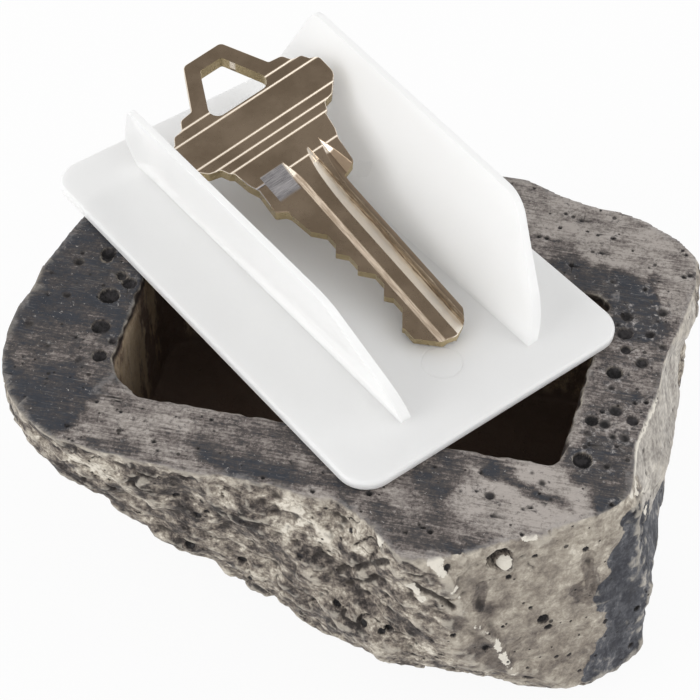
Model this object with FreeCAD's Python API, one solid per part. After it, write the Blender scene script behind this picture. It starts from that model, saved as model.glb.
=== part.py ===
import FreeCAD, Part
import math
import os
import random

from FreeCAD import Vector

# A key-hiding stone, crown down: its ground base faces up and its lid lies on that base, fins up,
# with a house key between the fins. Millimetres, +Z up. The origin is on the crown's landing
# facet, under the middle of the key cavity. +X runs along the cavity, +Y away from its front wall.

# Stone
STONE_HEIGHT = 37.0
COLUMNS = 72
ROUGHNESS = 0.55
RIM_ROUGHNESS = 0.3
ROW_ROUGHNESS = 0.8
COLUMN_ROUGHNESS = 0.25
LUMPS = 44
LUMP_SIZE = 6.5
LUMP_RELIEF = 0.8
CHIP_SIZE = 4.5
SEED = 11

# Layers that the stone broke along: their direction, thickness and how far each stands out
LAYER_AXIS = (0.7, 0.15, 0.7)
LAYER_THICK = 9.0
LAYER_RELIEF = 0.4

# Key cavity: mouth corners as x, y and corner radius, then its depth and the draft of its walls
CAVITY_MOUTH = [(-28.6, 14.3, 4.0), (-28.7, -14.6, 6.5), (27.0, -14.2, 1.6), (30.2, 14.3, 2.0)]
CAVITY_DEPTH = 21.0
CAVITY_DRAFT = 0.7
ABOVE_MOUTH = 5.0

# Lid, in its own frame: X along its long side, Z = 0 at its underside
LID_LENGTH = 66.4
LID_WIDTH = 42.1
LID_CORNER = 3.9
PLATE = 1.5
PLATE_EDGE = 0.3
PIN_MARK_X = 23.5
PIN_MARK_Y = -0.8
PIN_MARK_RADIUS = 2.5
PIN_MARK_DEPTH = 0.12

# Clip fins: half spacing of their inner faces at the plate, and heights and reaches along X
FIN_INNER = 9.2
FIN_HEIGHT = 15.4
FIN_FOOT_THICK = 1.6
FIN_TOP_THICK = 0.95
FIN_SPAN = 30.0
FIN_SINK = 0.8
FIN_FOOT = 27.9
FIN_BEND_HEIGHT = 2.9
FIN_KNEE_HEIGHT = 6.2
FIN_NEAR_CORNER = 5.0
FIN_FAR_CORNER = 1.8
FIN_TRIM = 1.0
# Side, lean in degrees at the near and far ends, then reach of each end at bend, knee and top
FINS = [(-1, 18.6, 16.4, (27.6, 26.0, 18.4), (28.1, 27.5, 22.0)),
        (1, 14.2, 23.8, (27.4, 25.8, 18.8), (28.1, 27.5, 24.0))]

# Where the lid lies on the ground base
LID_TURN = -40.5
LID_X = -6.33
LID_Y = 13.26

# Key, in its own frame: X from the tip to the bow, +Y towards the cuts, Z = 0 at its top face
KEY_THICK = 2.0
KEY_EDGE = 0.12
BLADE_HALF = 4.35
NECK_END = 25.4
CUT_PITCH = 3.967
FIRST_CUT = 19.1
CUT_FLAT = 1.7
CUT_FLANK = 0.84
CUT_CORNER = 0.2
CUT_ROOTS = [2.5, 2.2, 1.2, 1.5, 3.0]
BOW_AXIS = -0.7
LINE_WIDTH = 0.42
LINE_DEPTH = 0.15
LINE_PLACES = [30.2, 33.95, 35.35, 36.9, 41.15, 42.75]

# Cutters of the slots: where their run-outs leave the face, and the radius for steps and for slots
CUTTER_EXIT = 31.5
STEP_CUTTER = 20.0
SLOT_CUTTER = 60.0

# Half of the bow and neck, from the top edge to the shoulder: x, distance from the bow's axis, radius
BOW_HALF = [(50.5, 3.0, 0.9), (44.35, 6.2, 0.4), (44.1, 8.1, 0.9), (42.85, 8.8, 0.3), (42.6, 10.2, 0.6),
            (41.6, 10.8, 0.4), (41.1, 11.9, 0.8), (38.0, 12.0, 1.8), (35.6, 9.8, 0.6), (35.2, 8.3, 0.4),
            (34.1, 7.8, 0.3), (33.7, 7.3, 0.2), (31.3, 6.9, 0.8), (29.8, 6.3, 0.3)]
BOW_HOLE = [(48.6, 1.7, 0.5), (41.5, 5.2, 1.3)]
TIP = [(-0.2, 0.5, 0.8), (-0.7, -1.2, 1.0), (0.3, -3.2, 1.0), (1.9, -BLADE_HALF, 0.9)]
# Shoulders between the bow and the blade, and the edge from the neck down to the first cut
CUT_SIDE_SHOULDER = [(NECK_END + 0.7, 5.9, 0.5), (NECK_END, 4.7, 0.3)]
SPINE_SHOULDER = [(NECK_END - 0.1, -BLADE_HALF, 0.3), (NECK_END + 0.6, -6.5, 0.7)]
FIRST_RAMP = [(NECK_END - 0.6, BLADE_HALF), (21.55, 3.85)]

# Sections of the slots across the blade, y and z, with z = 0 at the key's top face
CUT_SIDE_STEP = [(0.15, 0.5), (0.15, 0.0), (0.8, -0.55), (4.45, -0.55), (4.45, 0.5)]
WIDE_SLOT = [(-1.4, 0.5), (-1.4, 0.0), (-1.9, -0.45), (-2.4, -0.78), (-2.85, -0.97), (-3.15, -1.0),
             (-3.3, 0.0), (-3.3, 0.5)]
SPINE_STEP = [(-3.45, 0.5), (-3.45, 0.0), (-4.95, -0.8), (-6.4, 0.0), (-6.4, 0.5)]
UNDER_SLOT = [(-1.4, 0.5), (-1.4, 0.0), (-1.0, -0.7), (0.0, -0.7), (0.4, 0.0), (0.4, 0.5)]
CUTTER_CLEAR = 0.5
PAST_TIP = 5.0
RUN_OUT_TURN = 24.0
UNDER_SLOT_SHIFT = -1.0

# Where the key lies in the lid: the tip at the blade's middle, above the plate, and its turns
KEY_TIP = (22.04, 0.87, 2.07)
KEY_YAW = 181.86
KEY_TILT = 13.43
KEY_ROLL = -10.79

# Outlines of the stone from the ground base down to the landing facet, counter-clockwise
RIM = [(-42.5, -5.0), (-42.8, -9.0), (-40.0, -15.8), (-37.0, -20.0), (-30.7, -23.2),
       (-21.0, -24.0), (-9.2, -24.0), (2.5, -24.5), (7.5, -27.6), (10.4, -30.6), (15.0, -30.6),
       (23.2, -25.6), (33.6, -19.8), (35.6, -16.3), (35.1, -10.7), (36.8, -1.0), (37.9, 5.8),
       (40.2, 15.7), (40.8, 22.9), (35.2, 28.0), (29.6, 29.7), (21.5, 30.7), (16.5, 33.3),
       (8.0, 33.0), (-10.0, 29.8), (-24.0, 27.0), (-34.0, 21.0), (-39.6, 13.8), (-41.7, 2.0)]
SHOULDERS = [(-41.5, -3.0), (-38.9, -16.2), (-33.4, -20.0), (-27.5, -21.3), (-17.5, -23.3),
             (3.5, -26.0), (11.0, -29.5), (20.0, -32.0), (31.0, -30.5), (38.4, -18.0), (39.5, -11.0),
             (39.8, -2.0), (40.8, 18.0), (40.5, 27.0), (31.0, 32.5), (10.0, 34.5), (-20.0, 30.0),
             (-35.0, 23.0), (-41.0, 10.0)]
BELLY = [(-36.0, -2.0), (-30.5, -13.6), (-21.0, -20.8), (-6.0, -23.4), (3.0, -27.0), (9.0, -29.5),
         (24.0, -30.0), (36.0, -27.5), (40.6, -18.5), (41.0, -4.0), (41.8, 14.0), (40.0, 27.0),
         (26.0, 33.5), (4.0, 34.0), (-20.0, 28.5), (-34.0, 15.0)]
KNEE = [(-26.0, -2.0), (-21.5, -11.5), (-9.5, -17.3), (-1.2, -22.6), (10.0, -25.6), (24.0, -24.9),
        (36.0, -25.5), (41.0, -16.5), (40.5, 4.0), (38.0, 21.0), (24.0, 30.0), (2.0, 30.0),
        (-16.0, 22.0), (-25.0, 9.0)]
CROWN = [(-17.0, -4.0), (-8.0, -13.5), (9.0, -21.0), (30.0, -21.5), (37.5, -12.0), (35.0, 10.0),
         (22.0, 24.0), (4.0, 24.0), (-13.0, 13.0)]
LANDING = [(-13.0, -4.0), (-5.0, -11.0), (10.0, -16.0), (28.0, -16.0), (32.0, -8.0), (29.0, 9.0),
           (18.0, 18.0), (3.0, 18.0), (-10.0, 8.0)]
LEVELS = [(37.0, RIM), (26.7, SHOULDERS), (16.4, BELLY), (6.1, KNEE), (2.0, CROWN), (0.0, LANDING)]
ROWS_BETWEEN = [3, 3, 3, 1, 1]

# Cleavage faces: a point on each and its outward direction
CLEAVAGES = [((24.0, -25.2, 37.0), (0.519, -0.855, 0.125)),
             ((36.2, -19.5, 20.0), (0.69, -0.72, 0.13)),
             ((41.0, 20.0, 20.0), (0.85, 0.50, -0.18)),
             ((-8.0, 31.0, 20.0), (-0.22, 0.95, -0.22)),
             ((-38.0, 10.0, 20.0), (-0.80, 0.42, -0.42))]

# Hollow chips knocked out of the sides: azimuth in degrees, height and depth
CHIPS = [(252.0, 22.0, 1.1), (236.0, 27.0, 0.9), (282.0, 21.0, 1.0), (345.0, 17.0, 1.0),
         (20.0, 25.0, 1.3), (75.0, 22.0, 1.4), (110.0, 12.0, 1.2), (150.0, 24.0, 1.3)]

# Bubble pits in the ground base: x, y and radius, each a bowl of a few conical steps
PIT_STEPS = 3
PIT_RIM_ANGLE = 15.0
BASE_PITS = [(29.3, -12.6, 1.15), (31.7, 1.6, 0.95), (32.5, -4.5, 0.95), (30.0, -6.6, 0.65),
             (31.6, -6.2, 0.6), (34.4, -5.5, 0.7), (-31.8, 0.8, 1.3), (-31.3, -4.5, 1.35),
             (-31.0, 4.3, 1.1), (-33.9, 7.0, 1.15), (-30.0, -9.1, 0.85), (-34.6, -1.6, 0.6),
             (33.5, 8.6, 0.6), (35.0, 14.5, 0.7)]


def outline_radius(outline, azimuth):
    """Distance from the Z axis to a closed outline in one direction."""
    ray = (math.cos(azimuth), math.sin(azimuth))
    radius = 0.0
    for first, second in zip(outline, outline[1:] + outline[:1]):
        edge = (second[0] - first[0], second[1] - first[1])
        cross = ray[0] * edge[1] - ray[1] * edge[0]
        if abs(cross) < 1e-9:
            continue
        along_ray = (first[0] * edge[1] - first[1] * edge[0]) / cross
        along_edge = (first[0] * ray[1] - first[1] * ray[0]) / cross
        if along_ray > 0 and -1e-9 <= along_edge <= 1 + 1e-9:
            radius = max(radius, along_ray)
    return radius


def smooth_radius(height, azimuth):
    """Radius of the unworn stone at one height, straight between the outlines."""
    for (top, upper), (bottom, lower) in zip(LEVELS, LEVELS[1:]):
        if bottom <= height <= top:
            share = (height - bottom) / (top - bottom)
            high = outline_radius(upper, azimuth)
            low = outline_radius(lower, azimuth)
            return low + (high - low) * share
    return 0.0


def make_lumps(chance):
    """Broad swells of the sides and the chips in them: azimuth, height, relief and size of each."""
    lumps = [(math.radians(azimuth), height, -depth, CHIP_SIZE) for azimuth, height, depth in CHIPS]
    for _ in range(LUMPS):
        azimuth = chance.uniform(0, 2 * math.pi)
        height = chance.uniform(0, STONE_HEIGHT)
        lumps.append((azimuth, height, chance.uniform(-LUMP_RELIEF, LUMP_RELIEF), LUMP_SIZE))
    return lumps


def lump_relief(lumps, height, azimuth, radius):
    """Sum of the swells and hollows at one place on the side."""
    relief = 0.0
    for centre, level, depth, size in lumps:
        turn = math.atan2(math.sin(azimuth - centre), math.cos(azimuth - centre))
        distance = math.hypot(turn * radius, height - level)
        relief += depth * math.exp(-(distance / size) ** 2)
    return relief


def layer_relief(point):
    """Ledges of the tilted layers, each steeper on one side than on the other."""
    along = sum(axis * place for axis, place in zip(LAYER_AXIS, point))
    phase = 2 * math.pi * along / LAYER_THICK
    return LAYER_RELIEF * (math.sin(phase) + 0.4 * math.sin(2 * phase))


def row_heights():
    """Heights of the rings of points, level by level."""
    heights = []
    for (top, _), (bottom, _), rows in zip(LEVELS, LEVELS[1:], ROWS_BETWEEN):
        heights += [top + (bottom - top) * step / rows for step in range(rows)]
    return heights + [LEVELS[-1][0]]


def stone_rows():
    """Rings of corner points from the base down to the landing facet, each point knocked about."""
    chance = random.Random(SEED)
    lumps = make_lumps(chance)
    step = 2 * math.pi / COLUMNS
    heights = row_heights()
    rows = []
    for index, height in enumerate(heights):
        flat = index in (0, len(heights) - 1)
        rough = RIM_ROUGHNESS if flat else ROUGHNESS
        row = []
        for column in range(COLUMNS):
            shift = 0.5 * (index % 2) + chance.uniform(-COLUMN_ROUGHNESS, COLUMN_ROUGHNESS)
            azimuth = step * (column + shift)
            z = height if flat else height + chance.uniform(-ROW_ROUGHNESS, ROW_ROUGHNESS)
            radius = smooth_radius(z, azimuth) + chance.uniform(-rough, rough)
            if not flat:
                radius += lump_relief(lumps, z, azimuth, radius)
                radius += layer_relief((radius * math.cos(azimuth), radius * math.sin(azimuth), z))
            row.append(Vector(radius * math.cos(azimuth), radius * math.sin(azimuth), z))
        rows.append(row)
    return rows


def polygon_face(points):
    return Part.Face(Part.makePolygon(points + points[:1]))


def rough_stone():
    """The faceted stone before its cavity: rings of points joined by triangles."""
    rows = stone_rows()
    faces = [polygon_face(rows[0]), polygon_face(rows[-1])]
    for index, (upper, lower) in enumerate(zip(rows, rows[1:])):
        for column in range(COLUMNS):
            beside = (column + 1) % COLUMNS
            if index % 2:
                faces.append(polygon_face([upper[column], lower[beside], upper[beside]]))
                faces.append(polygon_face([upper[column], lower[column], lower[beside]]))
            else:
                faces.append(polygon_face([upper[column], lower[column], upper[beside]]))
                faces.append(polygon_face([upper[beside], lower[column], lower[beside]]))
    solid = Part.makeSolid(Part.makeShell(faces))
    if solid.Volume < 0:
        solid.reverse()
    return solid


def beyond_plane(point, outward):
    """A block that fills everything beyond a plane, for cutting a flat cleavage face."""
    reach = 150.0
    block = Part.makeBox(reach, reach, reach, Vector(-reach / 2, -reach / 2, 0))
    turn = FreeCAD.Rotation(Vector(0, 0, 1), Vector(*outward))
    block.Placement = FreeCAD.Placement(Vector(*point), turn)
    return block


def bubble_pit(x, y, radius):
    """A bubble that the ground base cuts just above its middle."""
    profile = [Vector(0, 0, radius), Vector(radius, 0, radius)]
    for step in range(PIT_STEPS + 1):
        angle = math.radians(PIT_RIM_ANGLE + (90 - PIT_RIM_ANGLE) * step / PIT_STEPS)
        profile.append(Vector(radius * math.cos(angle), 0, -radius * math.sin(angle)))
    bowl = polygon_face(profile).revolve(Vector(0, 0, 0), Vector(0, 0, 1), 360)
    bowl.translate(Vector(x, y, STONE_HEIGHT + radius * math.sin(math.radians(PIT_RIM_ANGLE))))
    return bowl


def rounded_wire(corners, z=0.0):
    """A closed wire through corners given as x, y and radius, with an arc at each."""
    points = [Vector(x, y, z) for x, y, _ in corners]
    spans = []
    for index, (x, y, radius) in enumerate(corners):
        corner = points[index]
        before = (points[index - 1] - corner).normalize()
        after = (points[(index + 1) % len(points)] - corner).normalize()
        half = before.getAngle(after) / 2
        run = radius / math.tan(half)
        centre = corner + (before + after).normalize() * (radius / math.sin(half))
        middle = centre + (corner - centre).normalize() * radius
        spans.append((corner + before * run, middle, corner + after * run))
    edges = []
    for index, (start, middle, end) in enumerate(spans):
        edges.append(Part.Arc(start, middle, end).toShape())
        edges.append(Part.LineSegment(end, spans[(index + 1) % len(spans)][0]).toShape())
    return Part.Wire(edges)


def drawn_in(corners, inset):
    """Cavity corners moved towards its middle by the draft of its walls."""
    return [(x - math.copysign(inset, x), y - math.copysign(inset, y), radius) for x, y, radius in corners]


def cavity():
    """The key cavity's space, drawn in towards its floor so that it leaves the mould."""
    floor = rounded_wire(drawn_in(CAVITY_MOUTH, CAVITY_DRAFT), STONE_HEIGHT - CAVITY_DEPTH)
    outset = CAVITY_DRAFT * ABOVE_MOUTH / CAVITY_DEPTH
    above = rounded_wire(drawn_in(CAVITY_MOUTH, -outset), STONE_HEIGHT + ABOVE_MOUTH)
    return Part.makeLoft([floor, above], True, True)


def make_stone():
    """The rough stone with its cleavage faces, bubble pits and key cavity."""
    stone = rough_stone()
    tools = [beyond_plane(point, outward) for point, outward in CLEAVAGES]
    tools += [bubble_pit(*pit) for pit in BASE_PITS]
    tools.append(cavity())
    for tool in tools:
        stone = stone.cut(tool)
    return stone


def fin_outline(near_ends, far_ends):
    """Side view of one fin in the XZ plane, with its ends drawn in towards the top."""
    heights = (FIN_BEND_HEIGHT, FIN_KNEE_HEIGHT, FIN_HEIGHT)
    edges = []
    tops = []
    for side, reaches in ((1, near_ends), (-1, far_ends)):
        low = Vector(side * FIN_FOOT, 0, -FIN_SINK)
        foot = Vector(side * FIN_FOOT, 0, 0)
        bend, knee, top = [Vector(side * reach, 0, height) for reach, height in zip(reaches, heights)]
        edges.append(Part.LineSegment(low, foot).toShape())
        edges.append(Part.Arc(foot, bend, knee).toShape())
        edges.append(Part.LineSegment(knee, top).toShape())
        tops.append(top)
    edges.append(Part.LineSegment(tops[0], tops[1]).toShape())
    edges.append(Part.LineSegment(Vector(FIN_FOOT, 0, -FIN_SINK), Vector(-FIN_FOOT, 0, -FIN_SINK)).toShape())
    return Part.Wire(Part.__sortEdges__(edges))


def fin_section(side, x, lean):
    """Tapered cross section of a fin at one place along the lid."""
    slope = math.tan(math.radians(lean))
    above = FIN_HEIGHT + FIN_TRIM
    corners = [(FIN_INNER - FIN_SINK * slope, -FIN_SINK), (FIN_INNER + above * slope, above),
               (FIN_INNER + above * slope + FIN_TOP_THICK, above),
               (FIN_INNER - FIN_SINK * slope + FIN_FOOT_THICK, -FIN_SINK)]
    points = [Vector(x, side * y, z) for y, z in corners]
    return Part.makePolygon(points + points[:1])


def make_fin(side, near_lean, far_lean, near_ends, far_ends):
    """One clip fin: a wall that leans out, twisted a little and trimmed to its side view."""
    sections = [fin_section(side, FIN_SPAN, near_lean), fin_section(side, -FIN_SPAN, far_lean)]
    wall = Part.makeLoft(sections, True, True)
    trim = Part.Face(fin_outline(near_ends, far_ends)).extrude(Vector(0, side * 3 * FIN_INNER, 0))
    fin = wall.common(trim)
    for end, radius in ((1, FIN_NEAR_CORNER), (-1, FIN_FAR_CORNER)):
        corners = [edge for edge in fin.Edges
                   if edge.Length < FIN_FOOT_THICK and edge.CenterOfMass.z > FIN_HEIGHT - 0.1
                   and end * edge.CenterOfMass.x > 0]
        fin = fin.makeFillet(radius, corners)
    fin.translate(Vector(0, 0, PLATE))
    return fin


def pin_mark():
    """The fine V-shaped ring that an ejector pin leaves in the plate."""
    rise = 2 * PIN_MARK_DEPTH
    profile = [Vector(PIN_MARK_RADIUS - rise, 0, PIN_MARK_DEPTH),
               Vector(PIN_MARK_RADIUS + rise, 0, PIN_MARK_DEPTH),
               Vector(PIN_MARK_RADIUS, 0, -PIN_MARK_DEPTH)]
    ring = polygon_face(profile).revolve(Vector(0, 0, 0), Vector(0, 0, 1), 360)
    ring.translate(Vector(PIN_MARK_X, PIN_MARK_Y, PLATE))
    return ring


def make_lid():
    """The thin plate with rounded corners and two clip fins, and the ring an ejector pin leaves."""
    plate = Part.makeBox(LID_LENGTH, LID_WIDTH, PLATE, Vector(-LID_LENGTH / 2, -LID_WIDTH / 2, 0))
    plate = plate.makeFillet(LID_CORNER, [edge for edge in plate.Edges if abs(edge.Length - PLATE) < 0.01])
    rims = [edge for edge in plate.Edges if abs(edge.CenterOfMass.z - PLATE / 2) > PLATE / 2 - 0.01]
    plate = plate.makeChamfer(PLATE_EDGE, rims)
    lid = plate.fuse([make_fin(*fin) for fin in FINS]).removeSplitter()
    return lid.cut(pin_mark())


def bitting():
    """Cut edge of the blade from its neck to its tip: flat roots joined by sloping flanks."""
    centres = [FIRST_CUT - CUT_PITCH * index for index in range(len(CUT_ROOTS))]
    points = list(FIRST_RAMP)
    for index, (centre, root) in enumerate(zip(centres, CUT_ROOTS)):
        points.append((centre + CUT_FLAT / 2, root))
        points.append((centre - CUT_FLAT / 2, root))
        if index + 1 < len(centres):
            climb = (CUT_ROOTS[index + 1] - root) / CUT_FLANK
            run = (CUT_PITCH - CUT_FLAT + climb) / 2
            points.append((centre - CUT_FLAT / 2 - run, root + CUT_FLANK * run))
    return [(x, y, CUT_CORNER) for x, y in points]


def key_outline():
    near = [(x, BOW_AXIS + half, radius) for x, half, radius in BOW_HALF]
    far = [(x, BOW_AXIS - half, radius) for x, half, radius in reversed(BOW_HALF)]
    return near + CUT_SIDE_SHOULDER + bitting() + TIP + SPINE_SHOULDER + far


def key_blank():
    """The flat key before its slots: its outline, with a small chamfer round both faces."""
    blank = Part.Face(rounded_wire(key_outline())).extrude(Vector(0, 0, -KEY_THICK))
    rims = [edge for edge in blank.Edges
            if abs(edge.CenterOfMass.z + KEY_THICK / 2) > KEY_THICK / 2 - 0.01]
    return blank.makeChamfer(KEY_EDGE, rims)


def milled(section, cutter_radius):
    """A slot cut along the blade by a round cutter that runs out of the face towards the bow."""
    depth = -min(z for _, z in section)
    reach = math.sqrt(2 * cutter_radius * depth - depth ** 2)
    full_depth = CUTTER_EXIT - reach
    points = [Vector(full_depth, y, z) for y, z in section]
    face = polygon_face(points)
    along = face.extrude(Vector(-full_depth - PAST_TIP, 0, 0))
    axis = Vector(full_depth, 0, cutter_radius - depth)
    run_out = face.revolve(axis, Vector(0, -1, 0), RUN_OUT_TURN)
    return along.fuse(run_out)


def engraved_line(x):
    """A V-shaped line across the bow's face."""
    half = LINE_WIDTH / 2
    spread = half * (1 + CUTTER_CLEAR / LINE_DEPTH)
    reach = 2 * BOW_HALF[5][1]
    points = [Vector(x - spread, -reach, CUTTER_CLEAR),
              Vector(x + spread, -reach, CUTTER_CLEAR),
              Vector(x, -reach, -LINE_DEPTH)]
    return polygon_face(points).extrude(Vector(0, 2 * reach, 0))


def make_key():
    """The key with its bow's hole and lines, its three slots above and one below."""
    key = key_blank()
    hole = [(x, BOW_AXIS + half, radius) for x, half, radius in BOW_HOLE]
    hole += [(x, BOW_AXIS - half, radius) for x, half, radius in reversed(BOW_HOLE)]
    tools = [Part.Face(rounded_wire(hole, KEY_THICK)).extrude(Vector(0, 0, -3 * KEY_THICK))]
    tools += [engraved_line(x) for x in LINE_PLACES]
    tools.append(milled(CUT_SIDE_STEP, STEP_CUTTER))
    tools += [milled(section, SLOT_CUTTER) for section in (WIDE_SLOT, SPINE_STEP)]
    under = milled(UNDER_SLOT, STEP_CUTTER)
    under.rotate(Vector(0, 0, -KEY_THICK / 2), Vector(1, 0, 0), 180)
    under.translate(Vector(0, UNDER_SLOT_SHIFT, 0))
    tools.append(under)
    for tool in tools:
        key = key.cut(tool)
    return key


def place_in_lid(shape):
    shape.rotate(Vector(0, 0, 0), Vector(1, 0, 0), KEY_ROLL)
    shape.rotate(Vector(0, 0, 0), Vector(0, 1, 0), -KEY_TILT)
    shape.rotate(Vector(0, 0, 0), Vector(0, 0, 1), KEY_YAW)
    shape.translate(Vector(KEY_TIP[0], KEY_TIP[1], KEY_TIP[2] + PLATE))
    return shape


def place_on_stone(shape):
    shape.rotate(Vector(0, 0, 0), Vector(0, 0, 1), LID_TURN)
    shape.translate(Vector(LID_X, LID_Y, STONE_HEIGHT))
    return shape


def one_solid(shape):
    return shape.Solids[0] if len(shape.Solids) == 1 else shape


def build():
    return {"stone_shell": make_stone(),
            "lid": place_on_stone(make_lid()),
            "spare_key": place_on_stone(place_in_lid(make_key()))}


os.makedirs("parts", exist_ok=True)
for name, shape in build().items():
    solid = one_solid(shape)
    print(name, solid.ShapeType, "volume", round(solid.Volume, 1), "faces", len(solid.Faces))
    solid.exportStep("parts/" + name + ".step")
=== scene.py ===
import math
import random

import bmesh
import bpy
import numpy as np
from mathutils import Matrix, Vector, noise


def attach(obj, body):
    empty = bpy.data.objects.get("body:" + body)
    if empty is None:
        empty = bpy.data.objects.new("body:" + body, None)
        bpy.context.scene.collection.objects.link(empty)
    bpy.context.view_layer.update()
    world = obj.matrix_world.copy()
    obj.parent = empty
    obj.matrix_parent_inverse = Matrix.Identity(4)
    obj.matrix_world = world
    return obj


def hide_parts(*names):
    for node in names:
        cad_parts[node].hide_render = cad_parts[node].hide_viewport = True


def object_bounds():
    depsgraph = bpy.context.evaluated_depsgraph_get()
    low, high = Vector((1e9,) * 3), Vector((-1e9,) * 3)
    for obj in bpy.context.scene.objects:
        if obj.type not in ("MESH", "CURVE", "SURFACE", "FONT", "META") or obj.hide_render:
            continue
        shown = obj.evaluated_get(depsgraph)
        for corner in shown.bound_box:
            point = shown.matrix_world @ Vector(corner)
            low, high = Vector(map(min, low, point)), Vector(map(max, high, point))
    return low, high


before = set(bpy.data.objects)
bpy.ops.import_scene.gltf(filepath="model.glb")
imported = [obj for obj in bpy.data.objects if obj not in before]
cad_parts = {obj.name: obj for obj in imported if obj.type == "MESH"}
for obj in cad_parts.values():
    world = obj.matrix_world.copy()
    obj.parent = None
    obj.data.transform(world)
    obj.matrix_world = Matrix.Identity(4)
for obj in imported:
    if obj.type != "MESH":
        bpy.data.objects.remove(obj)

# A key-hiding stone, crown down, with its lid and a house key on the ground base. The frame is in
# metres. Sizes below are in millimetres unless a name says otherwise, and MM turns them to metres.
MM = 0.001
SEED = 7
CAD_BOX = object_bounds()
CAD_LOW, CAD_HIGH = np.array(CAD_BOX[0]) / MM, np.array(CAD_BOX[1]) / MM

# Camera, in the part's frame
CAMERA_PLACE = (25.14, -145.70, 202.01)
CAMERA_FORWARD = (-0.11609, 0.65283, -0.74855)
CAMERA_RIGHT = (0.98019, 0.19705, 0.01983)
CAMERA_LENS = 92.57
SENSOR = 36.0

# Light tent: the world's strength at the horizon and overhead, and the two soft boxes in watts
TENT_LOW = 1.14
TENT_TOP = 0.5
LEFT_BOX = 1.9
RIGHT_BOX = 1.15
FLOOR_GLOW = 0.92

# Stone: height of its ground base, size of its even mesh, faces that stay after thinning, and rounds of
# smoothing of its sides
STONE_TOP = 37.0
VOXEL = 0.38
FACES = 100000
SMOOTH_ROUNDS = 6
# Round each bubble: how often long edges are split, the shortest that still is, and the longest that
# stays as a share of the bubble's radius
SPLITS = 3
FINEST = 0.13
FINE_SHARE = 0.22
# Regions: corners of the key cavity's mouth and height of its floor, the smooth facet in front with the
# way it faces, its distance and how that grows downwards, and the flank on the right with its ends
POCKET = [(-28.6, 14.3), (-28.7, -14.6), (27.0, -14.2), (30.2, 14.3)]
POCKET_FLOOR = 16.0
FACET_NORMAL = (0.519, -0.855)
FACET_OFFSET = 33.95
FACET_GROWTH = 0.125
FACET_SPAN = (11.0, 36.5)
FLANK_START = 34.0
FLANK_ENDS = (-15.0, 14.0)

# Chipped edges: each a line of x, y and height
CHIPPED = [[(8.0, -28.3, 37.0), (9.6, -29.0, 34.5), (12.1, -29.9, 31.1), (14.0, -30.3, 29.0)],
           [(14.8, -30.7, 37.0), (16.6, -30.0, 33.0), (18.5, -29.4, 26.6), (19.4, -29.1, 24.7),
            (22.5, -28.5, 20.4), (24.3, -28.1, 15.9), (25.4, -27.4, 12.5)],
           [(36.2, -17.5, 36.5), (36.0, -15.0, 37.0), (35.6, -10.5, 36.7), (37.2, -1.0, 36.8)]]
# Ledges of the layers, carved in and darkened by the creases' wash and painted shade: each a line of x, y
# and height
LEDGES = [[(3.3, -25.4, 24.5), (6.0, -27.4, 28.8), (9.8, -29.3, 34.1)],
          [(4.4, -26.1, 22.7), (6.1, -27.0, 25.2), (7.9, -27.9, 28.1)],
          [(12.9, -30.1, 31.2), (16.0, -30.6, 29.8), (17.4, -30.5, 28.4)]]
# Stains on the smooth facet: each a line of x, y and height
STAINS = [[(31.0, -22.7, 25.0), (33.1, -21.9, 22.3), (34.8, -20.6, 21.4)],
          [(31.7, -21.5, 30.7), (32.5, -21.5, 26.9), (33.4, -21.4, 23.9)],
          [(20.6, -28.5, 30.6), (20.4, -28.9, 27.0)]]
# Bare white chips: x, y, height and radius
WHITE_CHIPS = [(14.9, -30.4, 36.4, 1.2), (24.6, -24.6, 36.9, 1.0), (8.6, -28.2, 36.6, 0.8),
               (36.9, -11.8, 31.1, 0.9), (37.8, -11.8, 28.3, 0.7), (36.0, -14.6, 35.6, 0.8),
               (35.9, -12.5, 36.6, 1.0), (35.5, -9.0, 36.6, 0.8), (36.3, -5.5, 36.5, 0.9),
               (37.3, -2.5, 36.2, 0.8), (36.1, -16.2, 36.6, 0.9)]
# A bubble in the smooth facet with a pebble in it, and a grey dome beside it: x, y, height, radius
PEBBLE_HOLE = (21.9, -26.9, 34.1, 1.6)
PEBBLE = (22.5, -26.6, 33.6, 1.0)
PEBBLE_LIFT = 1.3
DOME = (26.1, -24.1, 36.0, 1.3)
DOME_LIFT = 0.45

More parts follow.
